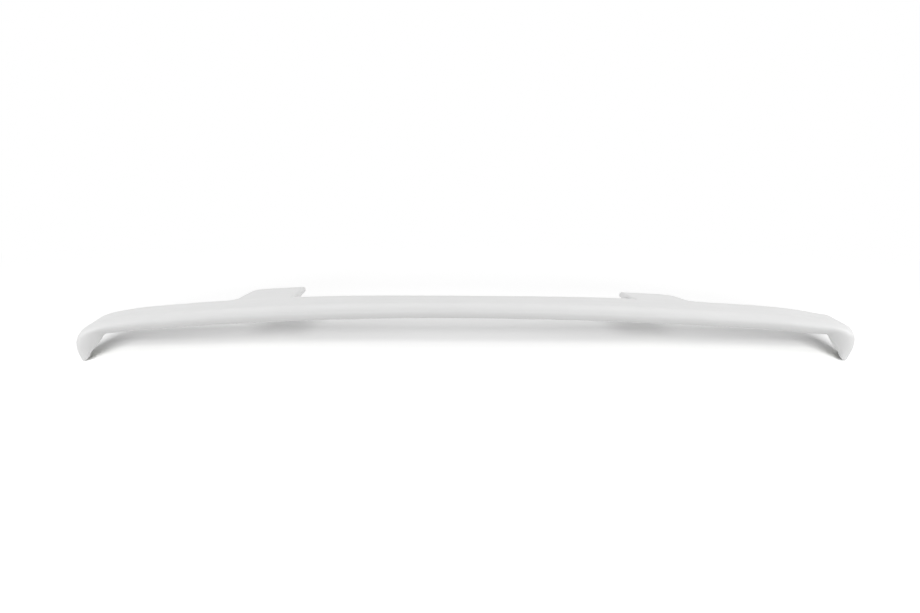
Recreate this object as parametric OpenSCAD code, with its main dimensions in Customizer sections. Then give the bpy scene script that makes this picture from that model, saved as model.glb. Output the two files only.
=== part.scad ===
// Rear spoiler for a wide tailgate: one glass fibre moulding, standing on its two curved-down ends.
// X runs across the car, -Y is the trailing edge, +Y the car's front, and Z = 0 the floor it stands on.
// The outer and inner edges of the lip are two rails in front view. The section is lofted along them.

/* [Overall] */
// Width across the widest points of the two ends
overall_w = 1400; // [1300:10:1600]
// Thickness of the laminate
wall = 3; // [2:0.5:4]

/* [Front view, outer edge] */
// Radius of the gentle crown along the wing
crown_r = 5940; // [5200:50:8000]
// Radius where the wing starts to fall towards its end
shoulder_r = 640; // [450:10:700]
// Slope at which the shoulder gives way to the corner
shoulder_slope = 12; // [11:0.5:15]
// Radius of the corner above each end
corner_r = 90; // [70:5:110]
// Slope at which the corner gives way to the end
corner_slope = 30; // [26:1:36]
// Radius of the outer side of each end
end_r = 34; // [28:1:42]
// Slope at which the outer side starts to run in to the foot
end_slope = 105; // [98:1:110]
// Radius of the outer side just above the foot
foot_r = 56; // [45:1:70]
// Slope of the outer side at the foot
foot_slope = 132; // [126:1:138]

/* [Lip] */
// Height of the lip at mid span
lip_h = 26.5; // [23:0.5:32]
// Height of the lip where the inner corner starts
lip_h_end = 27; // [23:0.5:32]
// Depth over which the top rounds down into the nose, along the wing
lip_depth = 24; // [16:1:30]
// The same depth down the ends
lip_depth_end = 14; // [11:1:20]
// Depth over which the nose rounds in to the flange
lip_under = 11; // [8:0.5:14]
// Where the nose stands proudest, as a share of the lip's height
lip_front = 0.56; // [0.5:0.01:0.62]
// How far round its arc the top of the nose is carried: less than 90 leaves a crease along the top
lip_sweep = 55; // [45:5:90]
// Fullness of the nose's underside: 2 is an ellipse, more is squarer
lip_fullness = 2.1; // [2:0.1:3]
// Width of the flange turned in under the nose
lip_flange = 10; // [6:1:16]
// Distance from the end's widest point in to the start of the inner corner
end_w = 58; // [52:1:66]
// Radius of the inner corner
inner_r = 16; // [10:1:22]
// Width of the foot before its tip is rounded
foot_w = 20; // [14:1:24]
// How far the rounded tip stands below the foot
foot_round = 4; // [3:0.5:8]

/* [Plan view] */
// How far the middle of the trailing edge stands out behind its ends
bow = 45; // [20:5:70]
// Chord at mid span
chord_mid = 110; // [95:1:122]
// Chord at the tabs and beyond
chord_full = 127; // [115:1:140]
// Distance from mid span at which the full chord is reached
chord_run = 320; // [260:10:380]
// Depth of the outer side at the foot
foot_depth = 76; // [64:2:84]
// How far the front of each foot stands outboard of its trailing edge
foot_splay = 11; // [0:0.5:12]
// How far the front corner of each foot is rounded back
foot_corner = 6; // [2:0.5:10]
// How far the front edge lies below the top of the lip
far_drop = 3; // [0:0.5:6]

/* [Front edge skirt] */
// Depth of the skirt along the wing
skirt_h = 16; // [12:0.5:20]
// How far the front edge of the outer sides is turned in beyond the laminate
side_turn = 1; // [0.6:0.2:3]
// Radius of the front edge
edge_r = 5; // [4:0.5:6]

/* [Fixing tabs] */
// Distance from mid span to the inboard end of a tab at its root
tab_root_in = 316; // [290:1:330]
// Distance from mid span to the outboard edge of a tab at its root
tab_root_out = 425; // [395:1:440]
// How far a tab reaches in front of the wing
tab_reach = 106; // [80:2:120]
// How far the inboard end runs in towards its tip
tab_hook = 12; // [0:1:20]
// How far the outboard edge runs in over the reach
tab_lean = 22; // [8:1:30]
// Radius of the outboard corner
tab_corner_r = 30; // [14:1:36]
// Radius of the hollow corner in which the outboard edge meets the wing
tab_fillet_r = 22; // [10:1:30]
// Thickness at the tip
tab_tip_t = 9.5; // [8:0.5:12]
// How far the left tip has sprung up out of the mould's plane, and the right one down
tab_spring = 4; // [0:0.2:5]
// How far both tabs lie to the left of their places
tab_shift = 5; // [0:0.5:8]

/* [Hidden] */

half_w = overall_w / 2;

// Steps of the loft along the half span and round the section
steps_mid = 9;
steps_tab_back = 4;
steps_tab_corner = 5;
steps_tab_side = 2;
steps_tab_fillet = 3;
steps_out = 9;
steps_corner = 9;
steps_end = 12;
steps_tip = 4;
steps_nose = 6;
steps_flat = 2;
steps_skirt = 5;

// Slopes on the outer rail beside the two ends of the inner corner
inner_start_slope = 18;
inner_end_slope = 72;
// Share of the height and depth at which the laminate thins out in the tip
tip_thin = 0.3;
// Height above which the lip has its full depth
full_lip_h = 24;
// Share of the end over which the lip's depth changes and its crease fades
lip_change = 0.4;
// Share of the end at which the front corner of the foot starts, and the power with which it rounds
foot_corner_start = 0.8;
foot_corner_power = 3;
// Gap in X between the rings on the two sides of a tab's end face
end_ring_gap = 1;
// Angle round the hollow corner of a tab at which its last ring lies
last_fillet_angle = 65;
// Power with which the section leans out towards the corner
lean_power = 6;
// How far round its arc the tip is carried
tip_sweep = 72;
// Power with which the chord shortens from the corner to the foot
end_taper = 1.5;
// Length of wing before the corner over which the chord starts to shorten
taper_run = 100;
// What that length adds to the end's share
taper_lead = 0.3;
// Share of the end at which the foot starts to splay, and the power with which it does
splay_start = 0.64;
splay_power = 2.2;
// Length along the end, as a share, over which the skirt runs out
skirt_run = 0.33;
// How far the middle of a rounded edge stands inside its corner, as a share of the radius
bend_share = 1 - cos(45);

function lerp(a, b, t) = a + (b - a) * t;
function heading_dir(a) = [cos(a), -sin(a)];
function outward(a) = [sin(a), cos(a)];

// The outer rail is a chain of tangent arcs. A point on it is named by its slope below the horizontal.
shoulder_run = shoulder_r * sin(shoulder_slope);
corner_run = corner_r * (sin(corner_slope) - sin(shoulder_slope));
end_run = end_r * (1 - sin(corner_slope));
crown_slope = asin((half_w - shoulder_run - corner_run - end_run) / (crown_r - shoulder_r));
arcs = [[crown_r, crown_slope], [shoulder_r, shoulder_slope], [corner_r, corner_slope], [end_r, end_slope],
    [foot_r, foot_slope]];
last_arc = len(arcs) - 1;

function arc_step(k, from, to) = arcs[k][0] * (outward(to) - outward(from));
function rail(a, k = 0, p = [0, 0], from = 0) =
    (k == last_arc || a <= arcs[k][1]) ? p + arc_step(k, from, a)
    : rail(a, k + 1, p + arc_step(k, from, arcs[k][1]), arcs[k][1]);
function slope_at(x, k = 0, p = [0, 0], from = 0) =
    let (next = p + arc_step(k, from, arcs[k][1]))
    (k == last_arc || x <= next[0]) ? asin((x - p[0]) / arcs[k][0] + sin(from))
    : slope_at(x, k + 1, next, arcs[k][1]);

// Where on the outer rail the inner corner starts
inner_start_x = rail(inner_start_slope)[0];

// The inner rail is the wing's arc, a tight corner tangent to it, and a straight line on to the foot.
foot_out = rail(foot_slope);
foot_in = foot_out - foot_w * outward(foot_slope);
notch_x = half_w - end_w;
notch_z = sqrt(pow(crown_r, 2) - pow(notch_x, 2)) - crown_r - lip_h_end;
inner_sag = -lip_h - notch_z;
inner_crown_r = (pow(notch_x, 2) + pow(inner_sag, 2)) / (2 * inner_sag);
notch_slope = asin(notch_x / inner_crown_r);
inner_centre = [notch_x, notch_z] - inner_r * outward(notch_slope);
to_foot = foot_in - inner_centre;
inner_slope = atan2(-to_foot[1], to_foot[0]) + asin(inner_r / norm(to_foot));
inner_end = inner_centre + inner_r * outward(inner_slope);

function inner_wing(x) = [x, sqrt(pow(inner_crown_r, 2) - pow(x, 2)) - inner_crown_r - lip_h];

// Plan view: the trailing edge is bowed, and the chord grows from mid span to the tabs.
function nose_y(x) = -bow * (1 - pow(x / half_w, 2));
function taper(share) = pow(max(0, share + taper_lead) / (1 + taper_lead), end_taper);
function chord_open(x) = lerp(chord_mid, chord_full, 1 - pow(1 - pow(min(1, x / chord_run), 2), 2));
function chord(x) = lerp(chord_open(x), foot_depth, taper(-taper_lead * (inner_start_x - x) / taper_run));
function far_y(x) = nose_y(x) + chord(x);
function far_z(x) = rail(slope_at(x))[1] - far_drop;

// Outline of a tab in front of the wing: distance from mid span and reach, and the angle its edge faces.
tab_side_angle = atan(tab_lean / tab_reach);
tab_corner_reach = tab_reach - tab_corner_r;
tab_corner_x = tab_root_out - tab_lean * tab_corner_reach / tab_reach - tab_corner_r / cos(tab_side_angle);
tab_tip_x = tab_root_in - tab_hook;
tab_side_top = tab_corner_reach + tab_corner_r * sin(tab_side_angle);
tab_side_low = tab_fillet_r * (1 - sin(tab_side_angle));
tab_end_x = tab_root_out + tab_fillet_r * tan((90 - tab_side_angle) / 2);
tab_outline = concat(
    [for (i = [0:steps_tab_back]) let (x = lerp(tab_tip_x + edge_r, tab_corner_x, i / steps_tab_back))
        [[x, tab_reach], 90]],
    [for (i = [1:steps_tab_corner]) let (a = lerp(90, tab_side_angle, i / steps_tab_corner))
        [[tab_corner_x + tab_corner_r * cos(a), tab_corner_reach + tab_corner_r * sin(a)], a]],
    [for (i = [1:steps_tab_side]) let (d = lerp(tab_side_top, tab_side_low, i / (steps_tab_side + 1)))
        [[tab_root_out - tab_lean * d / tab_reach, d], tab_side_angle]],
    [for (i = [0:steps_tab_fillet]) let (a = lerp(tab_side_angle, last_fillet_angle, i / steps_tab_fillet))
        [[tab_end_x - tab_fillet_r * cos(a), tab_fillet_r * (1 - sin(a))], a]]);
first_fillet = len(tab_outline) - 1 - steps_tab_fillet;

function tab_inner_x(i) = tab_outline[i][0][0] - edge_r * cos(tab_outline[i][1]);
function tab_root_x(i) = i >= first_fillet ? tab_inner_x(i)
    : lerp(tab_root_in + end_ring_gap + edge_r, tab_inner_x(first_fillet), i / first_fillet);

// The lines along a tab are [root, point of the outline, facing angle, fall of the rounded inboard end].
tab_lines = concat(
    [for (fall = [edge_r, bend_share * edge_r]) let (gap = fall == edge_r ? 0 : fall)
        [tab_root_in + end_ring_gap + gap, [tab_tip_x + gap, tab_reach], 90, fall]],
    [for (i = [0:len(tab_outline) - 1]) [tab_root_x(i), tab_outline[i][0], tab_outline[i][1], 0]]);
tab_last = len(tab_lines) - 1;

// Both tabs lie a little to the left. The underside of each is one true plane, so that it can be bonded.
function shift(side) = -side * tab_shift;
function tab_mid_x(side) = (tab_root_in + tab_root_out) / 2 + shift(side);
function tab_rise(side) = -far_drop / chord_full - side * tab_spring / tab_reach;
function tab_top_z(x, d, side) = far_z(x) + tab_rise(side) * max(0, d);
function tab_under_z(x, y, side) = let (mid = tab_mid_x(side))
    far_z(mid) - skirt_h - tan(slope_at(mid)) * (x - mid)
    + (tab_rise(side) + (skirt_h - tab_tip_t) / tab_reach) * (y - far_y(mid));

// Section of the lip's nose in [depth, distance below the outer rail], from its underside up to the top.
// The lip is given as [depth of its top, depth of its underside, sweep of its top].
function round_off(v) = pow(v, 2 / lip_fullness);
function nose(h, lip, inset) = let (proud = lip_front * h) [for (i = [-steps_nose:steps_nose])
    let (a = (i > 0 ? lip[2] : 90) * i / steps_nose)
    a > 0 ? [lerp(inset, lip[0], (1 - cos(a)) / (1 - cos(lip[2]))), lerp(proud, inset, sin(a) / sin(lip[2]))]
    : [lerp(lip[1], inset, round_off(cos(a))), lerp(proud, h - inset, round_off(-sin(a)))]];

// Flange, nose and top skin, as far as the bend of the front edge. An inset of 0 is the outside.
function skin(h, lip, chord, inset) = concat(
    [[lip[1] + min(lip_flange, h), h - inset]],
    nose(h, lip, inset),
    [for (i = [1:steps_flat]) [lerp(lip[0], chord - edge_r, i / (steps_flat + 1)), inset]]);

// Bend of the front edge and the skirt below it
function skirt(chord, skirt, inset) = let (r = min(edge_r, skirt - side_turn / 2)) concat(
    [for (a = [0:45:90]) [chord - r + (r - inset) * sin(a), r - (r - inset) * cos(a)]],
    [for (i = [1:steps_skirt]) [chord - inset, lerp(r, skirt, i / steps_skirt)]]);

// A station is [outer rail point, inner rail point, chord, skirt, number of its tab line or -1, splay, lip].
function wing_station(x, tab = -1) =
    let (lean = (inner_start_x - notch_x) * pow(x / inner_start_x, lean_power))
    [rail(slope_at(x)), inner_wing(x - lean), chord(x), skirt_h, tab, 0, [lip_depth, lip_under, lip_sweep]];
function end_share(k) = k / (steps_corner + steps_end);
function late(share, start, power) = pow(max(0, share - start) / (1 - start), power);
function end_station(p, q, share) =
    let (cut = foot_corner * late(share, foot_corner_start, foot_corner_power))
    let (depth = lerp(chord_full, foot_depth, taper(share)) - cut, turn = min(1, share / skirt_run))
    let (splay = foot_splay / foot_depth * late(share, splay_start, splay_power))
    let (changed = min(1, share / lip_change))
    let (lip = [lerp(lip_depth, lip_depth_end, changed), lip_under, lerp(lip_sweep, 90, changed)])
    [p, q, depth, lerp(skirt_h, wall + side_turn, turn), -1, splay, lip];

tip_mid = (foot_out + foot_in) / 2;
function tip_station(a) =
    let (sunk = tip_mid + foot_round * sin(a) * heading_dir(foot_slope))
    let (arm = foot_w / 2 * cos(a) * outward(foot_slope))
    end_station(sunk + arm, sunk - arm, 1);

function stations(side) = concat(
    [for (i = [0:steps_mid]) wing_station((tab_root_in + shift(side)) * i / steps_mid)],
    [for (i = [0:tab_last]) wing_station(tab_lines[i][0] + shift(side), i)],
    [for (i = [0:steps_out - 1]) wing_station(lerp(tab_end_x + shift(side), inner_start_x, i / steps_out))],
    [for (i = [0:steps_corner]) let (t = i / steps_corner)
        end_station(rail(lerp(inner_start_slope, inner_end_slope, t)),
            inner_centre + inner_r * outward(lerp(notch_slope, inner_slope, t)), end_share(i))],
    [for (i = [1:steps_end]) let (t = i / steps_end)
        end_station(rail(lerp(inner_end_slope, foot_slope, t)), lerp(inner_end, foot_in, t),
            end_share(steps_corner + i))],
    [for (i = [1:steps_tip]) tip_station(tip_sweep * i / steps_tip)]);

// The lowest point of the tips stands on the floor, and the box is centred on X and Y.
floor_z = -min([for (s = stations(1)) s[0][1]]);
front_y = max([for (line = tab_lines, side = [-1, 1]) far_y(line[0] + shift(side)) + line[1][1]]);
centre_y = (nose_y(0) + front_y) / 2;
function placed(side, x, y, z) = [side * x, y - centre_y, z + floor_z];

// A section point carried to its station
function carry(s, side, depth, drop, uv) =
    let (up = (s[0] - s[1]) / norm(s[0] - s[1]), p = s[0] - up * uv[1])
    let (fall = drop * max(0, uv[0] - depth) / (s[2] - depth))
    placed(side, p[0] + s[5] * uv[0], nose_y(s[0][0]) + uv[0], p[1] - fall);

// A tab at one ring: the top from where the wing's edge would bend, the rounded edge, and the underside
function tab_point(base, p, side, z) = placed(side, p[0], base + p[1], z);
function tab_top(base, p, side, sunk) = tab_point(base, p, side, tab_top_z(p[0], p[1], side) - sunk);
function tab_under(base, p, side) = tab_point(base, p, side, tab_under_z(p[0], base + p[1], side));
function tab_ring(s, side) =
    let (line = tab_lines[s[4]], fall = line[3], root = [s[0][0], 0], base = far_y(root[0]))
    let (tip = line[1] + [shift(side), 0], facing = [cos(line[2]), sin(line[2])])
    let (start = root - [0, edge_r], inner = tip - edge_r * facing)
    let (bend = tip - bend_share * edge_r * facing)
    concat([for (p = [start, (start + inner) / 2, inner]) tab_top(base, p, side, fall)],
        [tab_top(base, bend, side, max(fall, bend_share * edge_r)), tab_top(base, tip, side, edge_r)],
        [for (p = [tip, (root + tip) / 2, root]) tab_under(base, p, side)]);

// The closed outline of one ring: outside from the flange round to the skirt, and back along the inside
function ring(s, side) =
    let (across = s[0] - s[1], h = norm(across), thin = min(1, h / full_lip_h))
    let (lip = [s[6][0] * thin, s[6][1] * thin, s[6][2]])
    let (inset = min(wall, tip_thin * h), drop = far_drop * max(0, across[1] / h))
    let (skin_out = [for (uv = skin(h, lip, s[2], 0)) carry(s, side, lip[0], drop, uv)])
    let (skirt_out = [for (uv = skirt(s[2], s[3], 0)) carry(s, side, lip[0], drop, uv)])
    let (section_in = concat(skin(h, lip, s[2], inset), skirt(s[2], s[3], inset)))
    let (inside = [for (uv = section_in) carry(s, side, lip[0], drop, uv)], n = len(inside))
    concat(skin_out, s[4] >= 0 ? tab_ring(s, side) : skirt_out, [for (i = [n - 1:-1:0]) inside[i]]);

module spoiler_shell() {
    left = stations(-1);
    rings = concat([for (i = [len(left) - 1:-1:1]) ring(left[i], -1)], [for (s = stations(1)) ring(s, 1)]);
    n = len(rings[0]);
    last = len(rings) - 1;
    walls = [for (i = [0:last - 1], j = [0:n - 1]) let (a = i * n + j, b = i * n + (j + 1) % n)
        each [[a, b, b + n], [a, b + n, a + n]]];
    caps = [for (j = [0:n / 2 - 2]) let (k = n - 1 - j, m = last * n)
        each [[j + 1, j, k], [j + 1, k, k - 1], [m + j, m + j + 1, m + k], [m + j + 1, m + k - 1, m + k]]];
    color("white")
        polyhedron(points = [for (r = rings) each r], faces = concat(walls, caps), convexity = 10);
}

spoiler_shell();
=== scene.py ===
"""One-piece rear spoiler in white gelcoat, laid out as an add-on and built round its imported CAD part.

X runs across the car, -Y is the trailing edge, +Y the car's front, +Z up. Lengths are in metres.
"""
import copy
import math

import bmesh
import bpy
from mathutils import Matrix, Vector, noise


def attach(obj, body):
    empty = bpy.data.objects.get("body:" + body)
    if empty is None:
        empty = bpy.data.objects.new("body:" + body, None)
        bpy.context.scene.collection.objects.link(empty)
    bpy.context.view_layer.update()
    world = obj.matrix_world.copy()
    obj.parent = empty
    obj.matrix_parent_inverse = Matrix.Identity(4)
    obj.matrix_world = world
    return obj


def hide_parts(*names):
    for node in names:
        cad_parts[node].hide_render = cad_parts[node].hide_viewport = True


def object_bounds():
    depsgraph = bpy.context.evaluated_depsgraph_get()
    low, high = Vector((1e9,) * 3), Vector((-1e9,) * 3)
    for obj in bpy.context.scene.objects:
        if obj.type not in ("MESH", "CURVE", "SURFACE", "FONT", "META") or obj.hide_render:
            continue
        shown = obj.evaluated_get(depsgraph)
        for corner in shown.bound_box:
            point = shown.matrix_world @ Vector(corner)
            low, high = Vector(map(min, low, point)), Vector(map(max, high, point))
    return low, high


bl_info = {
    "name": "Rear spoiler in white gelcoat",
    "version": (1, 0, 0),
    "blender": (4, 5, 0),
    "location": "3D View > Sidebar > Spoiler",
    "description": "Builds a one-piece moulded rear spoiler and a pale studio round it",
    "category": "Object",
}

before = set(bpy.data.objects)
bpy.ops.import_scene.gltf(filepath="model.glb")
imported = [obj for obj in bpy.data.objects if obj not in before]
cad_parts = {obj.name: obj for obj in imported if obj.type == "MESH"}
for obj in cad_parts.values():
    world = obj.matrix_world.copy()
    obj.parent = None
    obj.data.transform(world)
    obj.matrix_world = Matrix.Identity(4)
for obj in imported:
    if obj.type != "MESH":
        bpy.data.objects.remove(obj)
CAD_LOW, CAD_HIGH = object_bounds()
NODE = "spoiler_shell"
HALF_PI = math.pi / 2

# Rings of the loft along the half span
WING_STEP = 0.009
EDGE_ROUND_RINGS = 6
TAB_BACK_RINGS = 9
TAB_CORNER_RINGS = 9
TAB_SIDE_RINGS = 6
TAB_FILLET_RINGS = 8
CORNER_RINGS = 22
END_RINGS = 30
TIP_RINGS = 9

# Points round its section
FLANGE_POINTS = 3
NOSE_POINTS = 16
TOP_POINTS = 9
BEND_POINTS = 7
TAB_TOP_POINTS = 9
TAB_UNDER_POINTS = 8

# Small sizes and angles of the loft
TAB_END_GAP = 0.0004
HOLLOW_END = math.radians(84)
TIP_END = math.radians(72)
FULL_SECTION_HEIGHT = 0.024
WALL_SHARE = 0.3
RIM_ANGLE = math.radians(35)
SHARP_ANGLE = math.radians(32)

# How the moulding departs from true. Places across are shares of the half width, heights and depths are in
# metres, and the twist's return is the share of it that is taken back at the widest points
CLEAR_HEIGHT = 0.03
TWIST_RETURN = 1.23
SLUMP_AT, SLUMP_WIDTH = 0.887, 0.061
SAG_AT, SAG_WIDTH = 0.938, 0.028
SAG_FROM_Y, SAG_RUN = -0.05, 0.06
RACK_FROM, RACK_RUN = 0.75, 0.2
RACK_LEVEL, RACK_HEIGHT = 0.033, 0.08
SWELL_AT, SWELL_WIDTH = 0.078, 0.021

# Waves that the mould left: how close they lie, the share of the short ones, and where they fade at the ends
LONG_WAVES = Vector((9.0, 14.0, 14.0))
SHORT_WAVES = 38.0
SHORT_WAVE_SHARE = 0.4
WAVE_END_RUN = 0.02

# Material slots of the shell's mesh
GELCOAT, LAMINATE, PAD_FACE = range(3)

# Soft boxes that light the part: name, place, size and the property that holds the power
AIM = Vector((0.0, 0.0, 0.08))
SOFT_BOXES = (
    ("front_box", (0.0, -2.6, 0.95), (2.8, 0.7), "front_power"),
    ("left_shoulder_box", (-2.0, 0.0, 1.9), (0.8, 0.8), "shoulder_power"),
    ("right_shoulder_box", (2.0, 0.0, 1.9), (0.8, 0.8), "shoulder_power"),
    ("top_box", (0.0, 1.3, 2.3), (3.0, 0.9), "top_power"),
    ("left_box", (-2.6, -0.6, 1.1), (1.0, 1.0), "left_power"),
    ("right_box", (2.6, -0.6, 1.1), (1.0, 1.0), "right_power"),
)

# Distant strips that light the floor: lowest and highest angle in degrees, and share of the light
STRIPS = ((5, 8, 0.09), (11, 17, 0.39), (17, 24, 0.36), (24, 38, 0.16))
STRIP_AWAY = 40.0
STRIP_WIDTH = 12.0

# The floor keeps the shadow out to the first distance and is plain white past the second
FLOOR_SHADOW, FLOOR_PLAIN = 1.0, 1.8
FLOOR_SIZE = 40.0
WHITE = (1.0, 1.0, 1.0, 1.0)

# The camera: its place is measured from the pivot between the two ends, and its turns are in degrees
CAMERA_PLACE = Vector((-0.01205, -2.1495, 0.4906))
CAMERA_PIVOT = Vector((0.0, -0.0774, 0.0))
CAMERA_YAW, CAMERA_PITCH, CAMERA_ROLL = 0.56, 10.3, 0.11
CAMERA_LENS = 48.05
SENSOR_WIDTH = 36.0


def length(name, description, default):
    """A size in metres, as a user would change it."""
    return bpy.props.FloatProperty(
        name=name, description=description, default=default, min=0.0, precision=4, subtype="DISTANCE",
        unit="LENGTH")


def slope(name, description, degrees):
    """An angle, given here in degrees."""
    return bpy.props.FloatProperty(
        name=name, description=description, default=math.radians(degrees), subtype="ANGLE", unit="ROTATION")


def share(name, description, default):
    """A plain number."""
    return bpy.props.FloatProperty(name=name, description=description, default=default, precision=3)


def watts(name, description, default):
    """The power of a lamp."""
    return bpy.props.FloatProperty(
        name=name, description=description, default=default, min=0.0, precision=2, subtype="POWER",
        unit="POWER")


def colour(name, description, grey):
    """A nearly neutral colour."""
    return bpy.props.FloatVectorProperty(
        name=name, description=description, default=grey, min=0.0, max=1.0, size=3, subtype="COLOR")


class ShellSizes(bpy.types.PropertyGroup):
    """Sizes of the moulding."""

    overall_w: length("Overall width", "Width across the widest points of the two ends", 1.4)
    wall: length("Wall", "Thickness of the laminate", 0.003)
    crown_r: length("Crown radius", "Radius of the gentle crown along the wing", 5.94)
    shoulder_r: length("Shoulder radius", "Radius where the wing starts to fall towards its end", 0.64)
    shoulder_slope: slope("Shoulder slope", "Slope at which the shoulder gives way to the corner", 12)
    corner_r: length("Corner radius", "Radius of the corner above each end", 0.09)
    corner_slope: slope("Corner slope", "Slope at which the corner gives way to the end", 30)
    end_r: length("End radius", "Radius of the outer side of each end", 0.034)
    end_slope: slope("End slope", "Slope at which the outer side starts to run in to the foot", 105)
    foot_r: length("Foot radius", "Radius of the outer side just above the foot", 0.056)
    foot_slope: slope("Foot slope", "Slope of the outer side at the foot", 132)
    lip_h: length("Lip height", "Height of the lip at mid span", 0.0265)
    lip_h_end: length("Lip height at the ends", "Height of the lip where the inner corner starts", 0.027)
    lip_depth: length("Lip depth", "Depth over which the top rounds down into the nose", 0.024)
    lip_depth_end: length("Lip depth down the ends", "The same depth down the ends", 0.014)
    lip_under: length("Lip underside", "Depth over which the nose rounds in to the flange", 0.011)
    lip_front: share("Lip front", "Where the nose stands proudest, as a share of the lip's height", 0.56)
    lip_sweep: slope("Lip sweep", "How far round its arc the top of the nose goes before its crease", 55)
    lip_fullness: share("Lip fullness", "Of the underside: 2 is an ellipse, more is squarer", 2.1)
    crease_hold: length("Crease hold", "Width of the strip that keeps the lip's crease crisp", 0.0015)
    lip_flange: length("Flange", "Width of the flange turned in under the nose", 0.01)
    end_w: length("End width", "From the end's widest point in to the start of the inner corner", 0.058)
    inner_r: length("Inner corner radius", "Radius of the inner corner", 0.016)
    foot_w: length("Foot width", "Width of the foot before its tip is rounded", 0.02)
    foot_round: length("Foot tip", "How far the rounded tip stands below the foot", 0.004)
    bow: length("Bow", "How far the middle of the trailing edge stands out behind its ends", 0.045)
    chord_mid: length("Chord at mid span", "Depth of the wing at mid span", 0.11)
    chord_full: length("Full chord", "Depth of the wing at the tabs and beyond", 0.127)
    chord_run: length("Chord run", "Distance from mid span at which the full chord is reached", 0.32)
    foot_depth: length("Foot depth", "Depth of the outer side at the foot", 0.076)
    foot_splay: length("Foot splay", "How far the front of each foot stands outboard", 0.011)
    foot_corner: length("Foot corner", "How far the front corner of each foot is rounded back", 0.006)
    far_drop: length("Front edge drop", "How far the front edge lies below the top of the lip", 0.003)
    skirt_h: length("Skirt", "Depth of the skirt along the wing", 0.016)
    side_turn: length("Side turn", "How far the front edge of the sides is turned in", 0.001)
    edge_r: length("Edge radius", "Radius of the front edge", 0.005)
    tab_root_in: length("Tab root, inboard", "From mid span to a tab's inboard end at its root", 0.316)
    tab_root_out: length("Tab root, outboard", "From mid span to a tab's outboard edge at its root", 0.425)
    tab_reach: length("Tab reach", "How far a tab reaches in front of the wing", 0.106)
    tab_hook: length("Tab hook", "How far the inboard end runs in towards its tip", 0.012)
    tab_lean: length("Tab lean", "How far the outboard edge runs in over the reach", 0.022)
    tab_corner_r: length("Tab corner", "Radius of the outboard corner", 0.03)
    tab_fillet_r: length("Tab fillet", "Radius of the hollow corner beside the wing", 0.022)
    tab_tip_t: length("Tab tip", "Thickness at the tip", 0.0095)
    tab_spring: length("Tab spring", "How far the left tip has sprung up, and the right one down", 0.004)
    tab_shift: length("Tab shift", "How far both tabs lie to the left of their places", 0.005)
    twist: length("Twist", "How far the wing has twisted, up on the left and down on the right", 0.0046)
    slump: length("Slump", "How far the right-hand corner has sunk", 0.0024)
    sag: length("Far sag", "How far the far edge alone has sunk at the right-hand corner", 0.0024)
    swell: length("Swell", "How far the right-hand corner swells out below its bend", 0.0014)
    rack: length("Rack", "How far the ends lean to the right over their height", 0.0057)
    rim_break: length("Rim break", "How far the trimmed rims are broken by sanding", 0.0004)
    ripple: length("Ripple", "Height of the long, shallow waves that the mould left", 0.0003)


class GelcoatFinish(bpy.types.PropertyGroup):
    """Colours of the moulding."""

    outside: colour("Gelcoat", "Colour of the smooth outer skin", (0.80, 0.80, 0.798))
    laminate: colour("Laminate", "Colour of the bare glass fibre inside", (0.60, 0.605, 0.575))
    strands: colour("Strands", "Colour of the glass strands that show in it", (0.78, 0.79, 0.74))
    pad: colour("Bonding face", "Colour of the sanded underside of the tabs", (0.74, 0.74, 0.72))


class StudioLook(bpy.types.PropertyGroup):
    """Lamps, floor and even light."""

    world_level: share("World level", "Strength of the even light from all sides", 0.3)
    front_power: watts("Front power", "Power of the low soft box in front of the part", 21.6)
    shoulder_power: watts("Shoulder power", "Power of each soft box that stands high beside an end", 6.0)
    top_power: watts("Top power", "Power of the wide soft box above and behind the part", 13.7)
    left_power: watts("Left power", "Power of the soft box at the left end", 20.9)
    right_power: watts("Right power", "Power of the soft box at the right end", 26.2)
    floor_light: share("Floor light", "Light that the distant strips give the floor", 0.64)
    floor_level: share("Floor level", "Brightness of the floor as the camera sees it", 1.15)
    bounce: share("Bounce", "Share of the light that the floor gives back to the part", 0.66)


def lerp(a, b, t):
    """The value a share t of the way from a to b."""
    return a + (b - a) * t


def ramp(value, run):
    """A share that grows from 0 to 1 over the run."""
    return min(1.0, max(0.0, value / run))


def steps(first, last, count):
    """count + 1 evenly spaced values, both ends included."""
    return [lerp(first, last, i / count) for i in range(count + 1)]


def outward(a):
    """Unit vector away from the centre of an arc, at slope a, in front view."""
    return Vector((math.sin(a), math.cos(a)))


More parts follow.
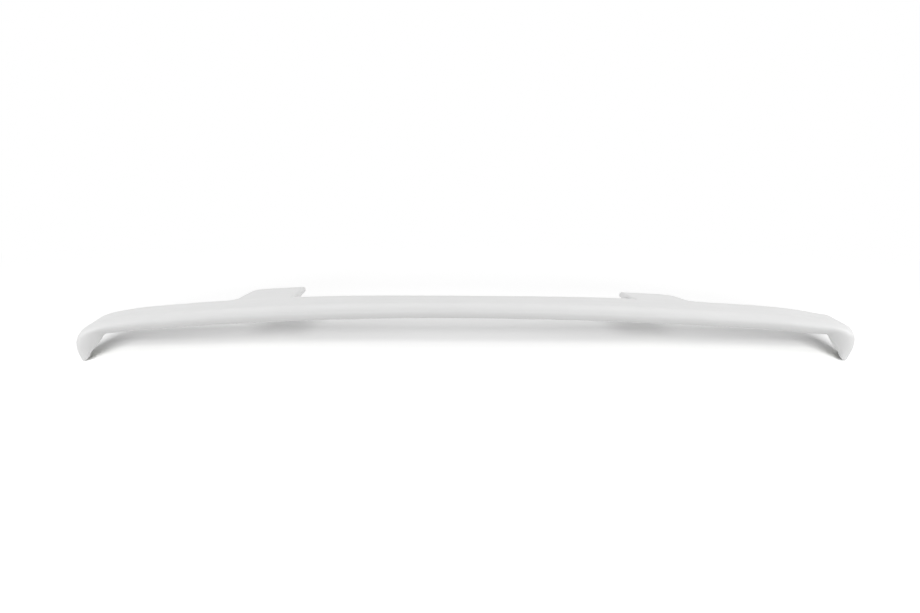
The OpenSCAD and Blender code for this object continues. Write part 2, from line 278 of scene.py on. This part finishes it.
class Rails:
    """The outer and inner edge of the lip in front view, and the plan view that goes with them."""

    # Slopes of the outer rail between which the inner corner turns
    inner_start_slope = math.radians(18)
    inner_end_slope = math.radians(72)

    # Where the chord starts to shorten before the corner, what share of the end that counts as, and the power
    taper_run = 0.1
    taper_lead = 0.3
    taper_power = 1.5

    # Shares of the way round the end, from the corner at 0 to the foot at 1, and powers of what changes there
    splay_start = 0.64
    splay_power = 2.2
    lip_change = 0.4
    skirt_change = 0.33
    corner_share = 9 / 21
    foot_corner_start = 0.8
    foot_corner_power = 3

    # How late along the wing the rings start to lean towards the inner corner
    notch_lean_power = 6

    def __init__(self, s):
        self.s = s
        self.half_w = s.overall_w / 2
        shoulder_run = s.shoulder_r * math.sin(s.shoulder_slope)
        corner_run = s.corner_r * (math.sin(s.corner_slope) - math.sin(s.shoulder_slope))
        end_run = s.end_r * (1 - math.sin(s.corner_slope))
        crown_run = self.half_w - shoulder_run - corner_run - end_run
        crown_slope = math.asin(crown_run / (s.crown_r - s.shoulder_r))
        self.arcs = [
            (s.crown_r, crown_slope), (s.shoulder_r, s.shoulder_slope), (s.corner_r, s.corner_slope),
            (s.end_r, s.end_slope), (s.foot_r, s.foot_slope)]
        self.inner_start_x = self.outer(self.inner_start_slope)[0]
        self.foot_out = self.outer(s.foot_slope)
        self.foot_in = self.foot_out - s.foot_w * outward(s.foot_slope)
        notch_x = self.half_w - s.end_w
        notch_z = math.sqrt(s.crown_r ** 2 - notch_x ** 2) - s.crown_r - s.lip_h_end
        sag = -s.lip_h - notch_z
        self.notch_x = notch_x
        self.inner_crown_r = (notch_x ** 2 + sag ** 2) / (2 * sag)
        self.notch_slope = math.asin(notch_x / self.inner_crown_r)
        self.inner_centre = Vector((notch_x, notch_z)) - s.inner_r * outward(self.notch_slope)
        to_foot = self.foot_in - self.inner_centre
        self.inner_slope = math.atan2(-to_foot[1], to_foot[0]) + math.asin(s.inner_r / to_foot.length)
        self.inner_end = self.inner_centre + s.inner_r * outward(self.inner_slope)

    def outer(self, a):
        """Point of the outer rail at which it slopes down by a."""
        p, start = Vector((0, 0)), 0.0
        for radius, end in self.arcs:
            stop = min(a, end)
            p = p + radius * (outward(stop) - outward(start))
            if a <= end:
                break
            start = end
        return p

    def slope_at(self, x):
        """Slope of the outer rail at distance x from mid span."""
        p, start = Vector((0, 0)), 0.0
        for radius, end in self.arcs:
            after = p + radius * (outward(end) - outward(start))
            if x <= after[0]:
                break
            p, start = after, end
        return math.asin((x - p[0]) / radius + math.sin(start))

    def inner_wing(self, x):
        """Point of the inner rail along the wing."""
        r = self.inner_crown_r
        return Vector((x, math.sqrt(r ** 2 - x ** 2) - r - self.s.lip_h))

    def nose_y(self, x):
        """Place of the trailing edge."""
        return -self.s.bow * (1 - (x / self.half_w) ** 2)

    def taper(self, along):
        """How far the chord has shortened, at a share of the way round the end."""
        return max(0.0, (along + self.taper_lead) / (1 + self.taper_lead)) ** self.taper_power

    def chord(self, x):
        """Depth of the wing."""
        s = self.s
        rise = 1 - (1 - min(1.0, x / s.chord_run) ** 2) ** 2
        before = (self.inner_start_x - x) / self.taper_run
        chord = lerp(s.chord_mid, s.chord_full, rise)
        return lerp(chord, s.foot_depth, self.taper(-self.taper_lead * before))

    def far_y(self, x):
        """Place of the front edge."""
        return self.nose_y(x) + self.chord(x)

    def far_z(self, x):
        """Height of the front edge against the top at mid span."""
        return self.outer(self.slope_at(x))[1] - self.s.far_drop


class Station:
    """One ring of the loft: where it lies on both rails, how deep it is, and which tab line it follows."""

    def __init__(self, out, inn, chord, skirt, lip, sweep, splay=0.0, line=None):
        self.out = out
        self.inn = inn
        self.chord = chord
        self.skirt = skirt
        self.lip = lip
        self.sweep = sweep
        self.splay = splay
        self.line = line


class TabLine:
    """A line along a tab: its root, its point on the outline, the way its edge faces, and its fall."""

    def __init__(self, root, tip, facing, fall=0.0):
        self.root = root
        self.tip = tip
        self.facing = Vector((math.cos(facing), math.sin(facing)))
        self.fall = fall

    def moved(self, shift):
        """The same line beside where it was."""
        made = copy.copy(self)
        made.root = self.root + shift
        made.tip = self.tip + Vector((shift, 0.0))
        return made


def tab_outline(s):
    """Points of a tab's edge from its rounded inboard end to the hollow corner, and the way each faces."""
    side_angle = math.atan(s.tab_lean / s.tab_reach)
    corner_reach = s.tab_reach - s.tab_corner_r
    corner_x = s.tab_root_out - s.tab_lean * corner_reach / s.tab_reach
    corner_x -= s.tab_corner_r / math.cos(side_angle)
    corner = Vector((corner_x, corner_reach))
    side_top = corner_reach + s.tab_corner_r * math.sin(side_angle)
    side_low = s.tab_fillet_r * (1 - math.sin(side_angle))
    hollow = Vector((tab_end_x(s), s.tab_fillet_r))
    points = [(Vector((x, s.tab_reach)), HALF_PI)
              for x in steps(s.tab_root_in - s.tab_hook + s.edge_r, corner_x, TAB_BACK_RINGS)]
    points += [(corner + s.tab_corner_r * Vector((math.cos(a), math.sin(a))), a)
               for a in steps(HALF_PI, side_angle, TAB_CORNER_RINGS)[1:]]
    points += [(Vector((s.tab_root_out - s.tab_lean * d / s.tab_reach, d)), side_angle)
               for d in steps(side_top, side_low, TAB_SIDE_RINGS)[1:-1]]
    points += [(hollow - s.tab_fillet_r * Vector((math.cos(a), math.sin(a))), a)
               for a in steps(side_angle, HOLLOW_END, TAB_FILLET_RINGS)]
    return points


def tab_end_x(s):
    """Where the hollow corner of a tab runs out into the wing's front edge."""
    side_angle = math.atan(s.tab_lean / s.tab_reach)
    return s.tab_root_out + s.tab_fillet_r * math.tan((HALF_PI - side_angle) / 2)


def tab_lines(s, side):
    """Every line along one tab, from its inboard end outwards."""
    tip_x = s.tab_root_in - s.tab_hook
    lines = []
    for a in steps(0, HALF_PI, EDGE_ROUND_RINGS)[:-1]:
        gap = s.edge_r * (1 - math.cos(a))
        fall = s.edge_r * (1 - math.sin(a))
        tip = Vector((tip_x + gap, s.tab_reach))
        lines.append(TabLine(s.tab_root_in + TAB_END_GAP + gap, tip, HALF_PI, fall))
    points = tab_outline(s)
    inner = [p[0] - s.edge_r * math.cos(a) for p, a in points]
    first_hollow = len(points) - 1 - TAB_FILLET_RINGS
    roots = steps(s.tab_root_in + TAB_END_GAP + s.edge_r, inner[first_hollow], first_hollow)
    lines += [TabLine(root, p, a) for root, (p, a) in zip(roots + inner[first_hollow + 1:], points)]
    return [line.moved(-side * s.tab_shift) for line in lines]


def late(along, start, power):
    """A share that stays at 0 until start and then grows to 1."""
    return (max(0.0, along - start) / (1 - start)) ** power


def wing_station(rails, x, line=None):
    """A ring across the wing."""
    s = rails.s
    lean = (rails.inner_start_x - rails.notch_x) * (x / rails.inner_start_x) ** rails.notch_lean_power
    out, inn = rails.outer(rails.slope_at(x)), rails.inner_wing(x - lean)
    return Station(out, inn, rails.chord(x), s.skirt_h, s.lip_depth, s.lip_sweep, line=line)


def end_station(rails, out, inn, along):
    """A ring round the corner, down the end or across the tip."""
    s = rails.s
    splay = s.foot_splay / s.foot_depth * late(along, rails.splay_start, rails.splay_power)
    cut = s.foot_corner * late(along, rails.foot_corner_start, rails.foot_corner_power)
    chord = lerp(s.chord_full, s.foot_depth, rails.taper(along)) - cut
    skirt = lerp(s.skirt_h, s.wall + s.side_turn, min(1.0, along / rails.skirt_change))
    changed = min(1.0, along / rails.lip_change)
    lip = lerp(s.lip_depth, s.lip_depth_end, changed)
    return Station(out, inn, chord, skirt, lip, lerp(s.lip_sweep, HALF_PI, changed), splay=splay)


def half_stations(rails, side):
    """Every ring from mid span out to one tip."""
    s = rails.s
    tab_in = s.tab_root_in - side * s.tab_shift
    tab_out = tab_end_x(s) - side * s.tab_shift
    inboard = steps(0, tab_in, round(tab_in / WING_STEP))
    outboard = steps(tab_out, rails.inner_start_x, round((rails.inner_start_x - tab_out) / WING_STEP))
    found = [wing_station(rails, x) for x in inboard]
    found += [wing_station(rails, line.root, line) for line in tab_lines(s, side)]
    found += [wing_station(rails, x) for x in outboard[:-1]]
    for t in steps(0, 1, CORNER_RINGS):
        out = rails.outer(lerp(rails.inner_start_slope, rails.inner_end_slope, t))
        inn = rails.inner_centre + s.inner_r * outward(lerp(rails.notch_slope, rails.inner_slope, t))
        found.append(end_station(rails, out, inn, rails.corner_share * t))
    for t in steps(0, 1, END_RINGS)[1:]:
        out = rails.outer(lerp(rails.inner_end_slope, s.foot_slope, t))
        inn = rails.inner_end.lerp(rails.foot_in, t)
        found.append(end_station(rails, out, inn, lerp(rails.corner_share, 1, t)))
    middle = (rails.foot_out + rails.foot_in) / 2
    down = Vector((math.cos(s.foot_slope), -math.sin(s.foot_slope)))
    for a in steps(0, TIP_END, TIP_RINGS)[1:]:
        sunk = middle + s.foot_round * math.sin(a) * down
        arm = s.foot_w / 2 * math.cos(a) * outward(s.foot_slope)
        found.append(end_station(rails, sunk + arm, sunk - arm, 1))
    return found


def nose(s, h, lip, under, sweep, inset):
    """Points round the lip, from its underside to the top, as depth and distance below the outer rail."""
    power = 2 / s.lip_fullness
    proud = s.lip_front * h
    points = []
    for a in steps(-HALF_PI, 0, NOSE_POINTS):
        points.append((lerp(under, inset, max(0.0, math.cos(a)) ** power),
                       lerp(proud, h - inset, abs(math.sin(a)) ** power)))
    for a in steps(0, sweep, NOSE_POINTS)[1:]:
        points.append((lerp(inset, lip, (1 - math.cos(a)) / (1 - math.cos(sweep))),
                       lerp(proud, inset, math.sin(a) / math.sin(sweep))))
    return points


def skin(s, st, h, thin, inset):
    """Flange, nose and top, as far as the bend of the front edge."""
    lip, under = st.lip * thin, s.lip_under * thin
    points = [(u, h - inset) for u in steps(under + min(s.lip_flange, h), under, FLANGE_POINTS)[:-1]]
    points += nose(s, h, lip, under, st.sweep, inset)
    points.append((lip + s.crease_hold, inset))
    points += [(u, inset) for u in steps(lip + s.crease_hold, st.chord - s.edge_r, TOP_POINTS)[1:-1]]
    return points


def skirt(s, st, inset):
    """Bend of the front edge and the skirt below it, with as many points as a tab line has."""
    r = min(s.edge_r, st.skirt - s.side_turn / 2)
    points = [(st.chord - r + (r - inset) * math.sin(a), r - (r - inset) * math.cos(a))
              for a in steps(0, HALF_PI, BEND_POINTS)]
    rest = BEND_POINTS + TAB_TOP_POINTS + TAB_UNDER_POINTS + 2 - len(points)
    return points + [(st.chord - inset, v) for v in steps(r, st.skirt, rest)[1:]]


class Moulding:
    """Places section points in space. Z is measured from the floor and Y from the middle of the box."""

    def __init__(self, rails):
        self.rails = rails
        self.halves = {side: half_stations(rails, side) for side in (-1, 1)}
        self.floor_z = -min(st.out[1] for st in self.halves[1])
        lines = [st.line for stations in self.halves.values() for st in stations if st.line]
        front = max(rails.far_y(line.root) + line.tip[1] for line in lines)
        self.centre_y = (rails.nose_y(0) + front) / 2

    def placed(self, x, y, z):
        """A point of one half in the part's frame."""
        return Vector((x, y - self.centre_y, z + self.floor_z))

    def carry(self, st, depth, drop, uv):
        """A section point carried to its station."""
        u, v = uv
        up = (st.out - st.inn).normalized()
        p = st.out - up * v
        fall = drop * max(0.0, u - depth) / (st.chord - depth)
        return self.placed(p[0] + st.splay * u, self.rails.nose_y(st.out[0]) + u, p[1] - fall)

    def tab_points(self, line, side):
        """Points along a tab line, and how far each reaches: top, rounded edge and flat underside."""
        s, rails = self.rails.s, self.rails
        root, r = Vector((line.root, 0.0)), s.edge_r
        base = rails.far_y(line.root)
        tilt = -s.far_drop / s.chord_full - side * s.tab_spring / s.tab_reach
        mid_x = (s.tab_root_in + s.tab_root_out) / 2 - side * s.tab_shift
        lean = math.tan(rails.slope_at(mid_x))
        under_tilt = tilt + (s.skirt_h - s.tab_tip_t) / s.tab_reach

        def top(p, fall):
            """A point of the top or its rounded edge, and how far it reaches."""
            z = rails.far_z(p[0]) + tilt * max(0.0, p[1])
            return self.placed(p[0], base + p[1], z - fall), max(0.0, p[1])

        def under(p):
            """A point of the flat underside, and how far it reaches."""
            y = base + p[1]
            z = rails.far_z(mid_x) - s.skirt_h - lean * (p[0] - mid_x)
            z += under_tilt * (y - rails.far_y(mid_x))
            return self.placed(p[0], y, z), p[1]

        start = root - Vector((0.0, r))
        inner = line.tip - r * line.facing
        found = [top(start.lerp(inner, t), line.fall) for t in steps(0, 1, TAB_TOP_POINTS)]
        for a in steps(0, HALF_PI, BEND_POINTS)[1:]:
            found.append(top(inner + r * math.sin(a) * line.facing, max(line.fall, r * (1 - math.cos(a)))))
        return found + [under(line.tip.lerp(root, t)) for t in steps(0, 1, TAB_UNDER_POINTS)]

    def ring(self, st, side):
        """The closed outline of one ring: outside from flange to skirt, and back along the inside."""
        s = self.rails.s
        across = st.out - st.inn
        h = across.length
        thin = min(1.0, h / FULL_SECTION_HEIGHT)
        depth = st.lip * thin
        inset = min(s.wall, WALL_SHARE * h)
        drop = s.far_drop * max(0.0, across[1] / h)
        outside = [(self.carry(st, depth, drop, uv), 0.0) for uv in skin(s, st, h, thin, 0.0)]
        if st.line is None:
            outside += [(self.carry(st, depth, drop, uv), 0.0) for uv in skirt(s, st, 0.0)]
        else:
            outside += self.tab_points(st.line, side)
        section = skin(s, st, h, thin, inset) + skirt(s, st, inset)
        inside = [(self.carry(st, depth, drop, uv), 0.0) for uv in section]
        return [(Vector((side * p[0], p[1], p[2])), reach) for p, reach in outside + inside[::-1]]

    def rings(self):
        """Every ring from the left tip to the right one."""
        left = [self.ring(st, -1) for st in self.halves[-1][:0:-1]]
        return left + [self.ring(st, 1) for st in self.halves[1]]


def loft(bm, rings):
    """Extrudes the outline of the left tip from ring to ring to the right tip, and closes both tips."""
    order = bm.verts.layers.int.new("order")
    reach = bm.verts.layers.float.new("reach")
    count = len(rings[0])
    start = bmesh.ops.create_vert(bm, co=rings[0][0][0])["vert"][0]
    last_vert = start
    ring_edges = []
    for k, (place, _) in enumerate(rings[0][1:], 1):
        made = bmesh.ops.extrude_vert_indiv(bm, verts=[last_vert])
        last_vert = made["verts"][0]
        last_vert.co = place
        last_vert[order] = k
        ring_edges += made["edges"]
    ring_edges += bmesh.ops.contextual_create(bm, geom=[last_vert, start])["edges"]
    first_edges = ring_edges
    for places in rings[1:]:
        made = bmesh.ops.extrude_edge_only(bm, edges=ring_edges)["geom"]
        ring_edges = [g for g in made if isinstance(g, bmesh.types.BMEdge)]
        for v in (g for g in made if isinstance(g, bmesh.types.BMVert)):
            v.co, v[reach] = places[v[order]]
    for edges in (first_edges, ring_edges):
        bmesh.ops.triangle_fill(bm, use_beauty=True, edges=edges)
    return order, reach, count


def paint_faces(bm, order, reach, count):
    """Gives the outer skin, the bare inside and the tabs' undersides their material slots."""
    outside = count // 2
    under_from = outside - TAB_UNDER_POINTS - 1
    for f in bm.faces:
        ks = [v[order] for v in f.verts]
        if min(ks) >= outside - 1 or (min(ks) == 0 and max(ks) == count - 1):
            f.material_index = LAMINATE
        elif min(ks) >= under_from and max(v[reach] for v in f.verts) > 0:
            f.material_index = PAD_FACE
        else:
            f.material_index = GELCOAT


def hill(place, middle, width):
    """A smooth bump, 1 at its middle."""
    return math.exp(-((place - middle) / width) ** 2)


def settle(bm, s):
    """Twists the wing, sinks one corner and leans the ends a little, with both feet kept on the floor."""
    half_w = s.overall_w / 2
    for v in bm.verts:
        x, z = v.co.x / half_w, v.co.z
        clear = ramp(z, CLEAR_HEIGHT)
        v.co.z -= s.twist * x * (1 - TWIST_RETURN * x * x) * clear
        v.co.z -= s.slump * hill(x, SLUMP_AT, SLUMP_WIDTH) * clear
        v.co.z -= s.sag * hill(x, SAG_AT, SAG_WIDTH) * ramp(v.co.y - SAG_FROM_Y, SAG_RUN) * clear
        end = ramp(abs(x) - RACK_FROM, RACK_RUN)
        v.co.x += s.rack * end * (z - RACK_LEVEL) / RACK_HEIGHT
        if x > 0:
            v.co.x += s.swell * end * hill(z, SWELL_AT, SWELL_WIDTH)


def ripple(bm, s):
    """Moves the skin by long, shallow waves that fade out towards the feet and the widest points."""
    bm.normal_update()
    moves = []
    for v in bm.verts:
        fade = ramp(v.co.z, CLEAR_HEIGHT) * ramp(s.overall_w / 2 - abs(v.co.x), WAVE_END_RUN)
        wave = noise.noise(v.co * LONG_WAVES) + SHORT_WAVE_SHARE * noise.noise(v.co * SHORT_WAVES)
        moves.append((v, v.normal * wave * s.ripple * fade))
    for v, move in moves:
        v.co += move


def break_rims(bm, s, order, count):
    """Breaks the sharp edges of the trimmed rims."""
    outside = count // 2
    rims = {0, count - 1, outside - 1, outside}
    edges = []
    for e in bm.edges:
        a, b = e.verts
        if a[order] == b[order] and a[order] in rims and len(e.link_faces) == 2:
            if e.calc_face_angle(0.0) > RIM_ANGLE:
                edges.append(e)
    bmesh.ops.bevel(bm, geom=edges, offset=s.rim_break, offset_type="OFFSET", segments=2, profile=0.5,
                    affect="EDGES", clamp_overlap=True, material=-1)


def keep_in_box(bm, low, high):
    """Moves points that lie past the CAD part's box, by up to 0.3 mm, back to it, which leaves faint flats."""
    for v in bm.verts:
        v.co = Vector(min(max(c, lo), hi) for c, lo, hi in zip(v.co, low, high))


class Wiring:
    """A short way to write the node tree of a material or of the world."""

    def __init__(self, owner):
        self.owner = owner
        self.owner.use_nodes = True
        self.tree = self.owner.node_tree
        self.tree.nodes.clear()

    def node(self, kind, inputs=None, **values):
        """A new node, with its settings, and with its inputs linked or given their values."""
        made = self.tree.nodes.new(kind)
        for key, value in values.items():
            setattr(made, key, value)
        for key, value in (inputs or {}).items():
            if isinstance(value, bpy.types.NodeSocket):
                self.tree.links.new(value, made.inputs[key])
            else:
                made.inputs[key].default_value = value
        return made

    def place(self):
        """Places in the part's own frame."""
        return self.node("ShaderNodeTexCoord").outputs["Object"]

    def laid(self, vector, scale, rotation=(0.0, 0.0, 0.0)):
        """The same places stretched and turned, for a grain that runs one way."""
        return self.node("ShaderNodeMapping",
                         {"Vector": vector, "Rotation": rotation, "Scale": scale}).outputs["Vector"]

    def noise(self, vector, scale, detail=2.0, roughness=0.5):
        """Soft noise from 0 to 1."""
        return self.node("ShaderNodeTexNoise", {"Vector": vector, "Scale": scale, "Detail": detail,
                                                "Roughness": roughness}).outputs["Fac"]

    def spread(self, value, low, high, to_low, to_high):
        """The values from low to high, stretched to run between two others."""
        return self.node("ShaderNodeMapRange", {"Value": value, "From Min": low, "From Max": high,
                                                "To Min": to_low, "To Max": to_high}).outputs["Result"]

    def mix(self, factor, a, b):
        """A colour between two others."""
        return self.node("ShaderNodeMix", {0: factor, 6: a, 7: b}, data_type="RGBA").outputs[2]

    def maths(self, operation, *values):
        """One step of arithmetic."""
        return self.node("ShaderNodeMath", dict(enumerate(values)), operation=operation).outputs[0]

    def bump(self, height, distance, strength, under=None):
        """A bumped normal, laid over another one where that is given."""
        inputs = {"Height": height, "Distance": distance, "Strength": strength}
        if under is not None:
            inputs["Normal"] = under
        return self.node("ShaderNodeBump", inputs).outputs["Normal"]

    def seen(self):
        """1 for what the camera sees, directly, reflected or through glass, and 0 for light itself."""
        ray = self.node("ShaderNodeLightPath")
        found = self.maths("MAXIMUM", ray.outputs["Is Camera Ray"], ray.outputs["Is Glossy Ray"])
        return self.maths("MAXIMUM", found, ray.outputs["Is Transmission Ray"])

    def finish(self, shader, kind="ShaderNodeOutputMaterial"):
        """Links the last shader to the output."""
        self.node(kind, {"Surface": shader})
        return self.owner


def rgba(c, level=1.0):
    """A colour as a socket takes it."""
    return tuple(v * level for v in c) + (1.0,)


def gelcoat_material(look):
    """Semi-gloss gelcoat: faint clouds of colour, a little dust, long print-through and orange peel."""
    w = Wiring(bpy.data.materials.new("white_gelcoat"))
    place = w.place()
    clouds = w.noise(place, scale=7.0, detail=3.0, roughness=0.55)
    dust = w.noise(place, scale=180.0, detail=3.0, roughness=0.6)
    base = w.mix(w.spread(clouds, 0.35, 0.65, 0.0, 1.0), rgba(look.outside, 0.975), rgba(look.outside))
    base = w.mix(w.spread(dust, 0.62, 0.8, 0.0, 0.05), base, rgba(look.outside, 0.7))
    smears = w.noise(w.laid(place, (5.0, 22.0, 22.0)), scale=3.0, detail=4.0)
    print_through = w.noise(place, scale=46.0, detail=2.0)
    peel = w.noise(place, scale=620.0, detail=1.0)
    normal = w.bump(print_through, distance=0.0009, strength=0.35)
    normal = w.bump(peel, distance=0.00008, strength=0.5, under=normal)
    shader = w.node("ShaderNodeBsdfPrincipled", {
        "Base Color": base, "Roughness": w.spread(smears, 0.3, 0.7, 0.40, 0.52), "IOR": 1.5,
        "Coat Weight": 0.08, "Coat Roughness": 0.2, "Normal": normal})
    return w.finish(shader.outputs["BSDF"])


def laminate_material(look):
    """Bare chopped-strand laminate: crossed glass strands set in resin."""
    w = Wiring(bpy.data.materials.new("bare_laminate"))
    place = w.place()
    strands = None
    for turn, stretch in ((0.3, 1.0), (1.4, 1.15), (2.4, 0.9), (3.5, 1.05)):
        laid = w.laid(place, (30.0 * stretch, 420.0 * stretch, 420.0), (turn * 0.4, turn * 0.2, turn))
        one = w.spread(w.noise(laid, scale=1.0, detail=1.0), 0.54, 0.68, 0.0, 1.0)
        strands = one if strands is None else w.maths("MAXIMUM", strands, one)
    pools = w.noise(place, scale=24.0, detail=3.0)
    base = w.mix(w.spread(pools, 0.35, 0.65, 0.0, 1.0), rgba(look.laminate, 0.86), rgba(look.laminate))
    base = w.mix(w.maths("MULTIPLY", strands, 0.55), base, rgba(look.strands))
    height = w.maths("ADD", w.maths("MULTIPLY", strands, 0.5), pools)
    shader = w.node("ShaderNodeBsdfPrincipled", {
        "Base Color": base, "Roughness": w.spread(pools, 0.3, 0.7, 0.28, 0.5), "IOR": 1.52,
        "Normal": w.bump(height, distance=0.0009, strength=0.6)})
    return w.finish(shader.outputs["BSDF"])


def pad_material(look):
    """Underside of a tab: flat, matt and scored by sanding in two directions."""
    w = Wiring(bpy.data.materials.new("sanded_bonding_face"))
    place = w.place()
    scores = None
    for turn in (0.5, -0.7):
        one = w.noise(w.laid(place, (40.0, 1500.0, 40.0), (0.0, 0.0, turn)), scale=1.0, detail=2.0)
        scores = one if scores is None else w.maths("ADD", scores, one)
    base = w.mix(w.spread(scores, 0.8, 1.2, 0.0, 1.0), rgba(look.pad, 0.9), rgba(look.pad))
    shader = w.node("ShaderNodeBsdfPrincipled", {
        "Base Color": base, "Roughness": 0.68, "IOR": 1.5,
        "Normal": w.bump(scores, distance=0.0002, strength=0.5)})
    return w.finish(shader.outputs["BSDF"])


class SPOILER_OT_shell(bpy.types.Operator):
    """Builds the moulding as one shell, with its lip, skirt, tabs and feet"""

    bl_idname = "spoiler.shell"
    bl_label = "Build the shell"

    def execute(self, context):
        scene = context.scene
        s = scene.spoiler_sizes
        look = scene.spoiler_finish
        bm = bmesh.new()
        order, reach, count = loft(bm, Moulding(Rails(s)).rings())
        paint_faces(bm, order, reach, count)
        bmesh.ops.recalc_face_normals(bm, faces=bm.faces[:])
        settle(bm, s)
        ripple(bm, s)
        break_rims(bm, s, order, count)
        keep_in_box(bm, CAD_LOW, CAD_HIGH)
        mesh = bpy.data.meshes.new("gelcoat_shell")
        bm.to_mesh(mesh)
        bm.free()
        mesh.shade_smooth()
        mesh.set_sharp_from_angle(angle=SHARP_ANGLE)
        for material in (gelcoat_material(look), laminate_material(look), pad_material(look)):
            mesh.materials.append(material)
        shell = bpy.data.objects.new("gelcoat_shell", mesh)
        scene.collection.objects.link(shell)
        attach(shell, "root")
        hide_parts(NODE)
        return {"FINISHED"}


def floor_material(look):
    """White floor that keeps the object's shadow near it and is plain white further out."""
    w = Wiring(bpy.data.materials.new("studio_floor"))
    seen = w.seen()
    away = w.node("ShaderNodeVectorMath", {0: w.place()}, operation="LENGTH").outputs["Value"]
    far = w.node("ShaderNodeMapRange", {"Value": away, "From Min": FLOOR_SHADOW, "From Max": FLOOR_PLAIN},
                 interpolation_type="SMOOTHSTEP").outputs["Result"]
    tone = w.mix(seen, rgba((look.bounce,) * 3), rgba((look.floor_level,) * 3))
    lit = w.node("ShaderNodeBsdfDiffuse", {"Color": tone}).outputs["BSDF"]
    plain = w.node("ShaderNodeEmission", {"Color": WHITE, "Strength": 1.0}).outputs["Emission"]
    shader = w.node("ShaderNodeMixShader", {0: w.maths("MULTIPLY", far, seen), 1: lit, 2: plain})
    return w.finish(shader.outputs["Shader"])


def add_floor(scene, look):
    """A wide floor under both feet."""
    bm = bmesh.new()
    bmesh.ops.create_grid(bm, x_segments=1, y_segments=1, size=FLOOR_SIZE)
    mesh = bpy.data.meshes.new("studio_floor")
    bm.to_mesh(mesh)
    bm.free()
    mesh.materials.append(floor_material(look))
    floor = bpy.data.objects.new("studio_floor", mesh)
    scene.collection.objects.link(floor)
    return floor


def lamp(scene, name, place, size, power, lit):
    """A rectangular soft box that faces the part and lights one object only."""
    data = bpy.data.lights.new(name, "AREA")
    data.shape = "RECTANGLE"
    data.size, data.size_y = size
    data.energy = power
    made = bpy.data.objects.new(name, data)
    scene.collection.objects.link(made)
    made.location = place
    made.rotation_euler = (AIM - Vector(place)).to_track_quat("-Z", "Y").to_euler()
    receivers = bpy.data.collections.new(name + "_receivers")
    receivers.objects.link(lit)
    made.light_linking.receiver_collection = receivers


def strip(scene, low, high, light, floor):
    """A distant strip in front that gives the floor its light from one range of heights, in degrees."""
    bottom, top = (STRIP_AWAY * math.tan(math.radians(a)) for a in (low, high))
    place = Vector((0.0, -STRIP_AWAY, (bottom + top) / 2))
    height = (top - bottom) * STRIP_AWAY / place.length
    # The power at which a white floor at the origin shows this much light
    power = light * math.pi ** 2 * place.length ** 3 / place.z
    lamp(scene, f"strip_{low}", place, (STRIP_WIDTH, height), power, floor)


def add_world(scene, look):
    """Even light from all sides, seen as plain white."""
    w = Wiring(bpy.data.worlds.new("even_light"))
    level = w.spread(w.seen(), 0.0, 1.0, look.world_level, 1.0)
    sky = w.node("ShaderNodeBackground", {"Color": WHITE, "Strength": level})
    scene.world = w.finish(sky.outputs["Background"], "ShaderNodeOutputWorld")


def add_camera(scene):
    """The camera at the photograph's place: slightly above, square on to the trailing edge."""
    yaw, pitch, roll = (math.radians(a) for a in (CAMERA_YAW, CAMERA_PITCH, CAMERA_ROLL))
    right = Vector((math.cos(roll), math.sin(roll) * math.sin(pitch), math.sin(roll) * math.cos(pitch)))
    back = Vector((0.0, -math.cos(pitch), math.sin(pitch)))
    up = back.cross(right)
    axes = Matrix((right, up, back)).transposed().to_4x4()
    turn = Matrix.Rotation(-yaw, 4, "Z")
    data = bpy.data.cameras.new("photo_camera")
    data.lens = CAMERA_LENS
    data.sensor_width = SENSOR_WIDTH
    camera = bpy.data.objects.new("photo_camera", data)
    camera.matrix_world = Matrix.Translation(CAMERA_PIVOT) @ turn @ Matrix.Translation(CAMERA_PLACE) @ axes
    scene.collection.objects.link(camera)
    scene.camera = camera


class SPOILER_OT_stage(bpy.types.Operator):
    """Adds the pale floor, the soft lamps, the even world and the camera"""

    bl_idname = "spoiler.stage"
    bl_label = "Set the stage"

    def execute(self, context):
        scene = context.scene
        look = scene.spoiler_studio
        floor = add_floor(scene, look)
        shell = scene.objects["gelcoat_shell"]
        for name, place, size, power in SOFT_BOXES:
            lamp(scene, name, place, size, getattr(look, power), shell)
        for low, high, part in STRIPS:
            strip(scene, low, high, part * look.floor_light, floor)
        add_world(scene, look)
        add_camera(scene)
        scene.view_settings.view_transform = "Standard"
        return {"FINISHED"}


class SPOILER_PT_panel(bpy.types.Panel):
    """Lists the operators and the sizes."""

    bl_idname = "SPOILER_PT_panel"
    bl_label = "Rear spoiler"
    bl_space_type = "VIEW_3D"
    bl_region_type = "UI"
    bl_category = "Spoiler"

    def draw(self, context):
        layout = self.layout
        layout.operator(SPOILER_OT_shell.bl_idname)
        layout.operator(SPOILER_OT_stage.bl_idname)
        for group_name in GROUPS:
            group = getattr(context.scene, group_name)
            box = layout.box()
            for name in group.__annotations__:
                box.prop(group, name)


GROUPS = {
    "spoiler_sizes": ShellSizes,
    "spoiler_finish": GelcoatFinish,
    "spoiler_studio": StudioLook,
}
CLASSES = (*GROUPS.values(), SPOILER_OT_shell, SPOILER_OT_stage, SPOILER_PT_panel)


def register():
    """Makes the classes and their properties known."""
    for cls in CLASSES:
        bpy.utils.register_class(cls)
    for name, group in GROUPS.items():
        setattr(bpy.types.Scene, name, bpy.props.PointerProperty(type=group))


def unregister():
    """Takes them away again."""
    for name in GROUPS:
        delattr(bpy.types.Scene, name)
    for cls in reversed(CLASSES):
        bpy.utils.unregister_class(cls)


def main():
    """Builds the part and its stage."""
    register()
    bpy.ops.spoiler.shell()
    bpy.ops.spoiler.stage()


if __name__ == "__main__":
    main()
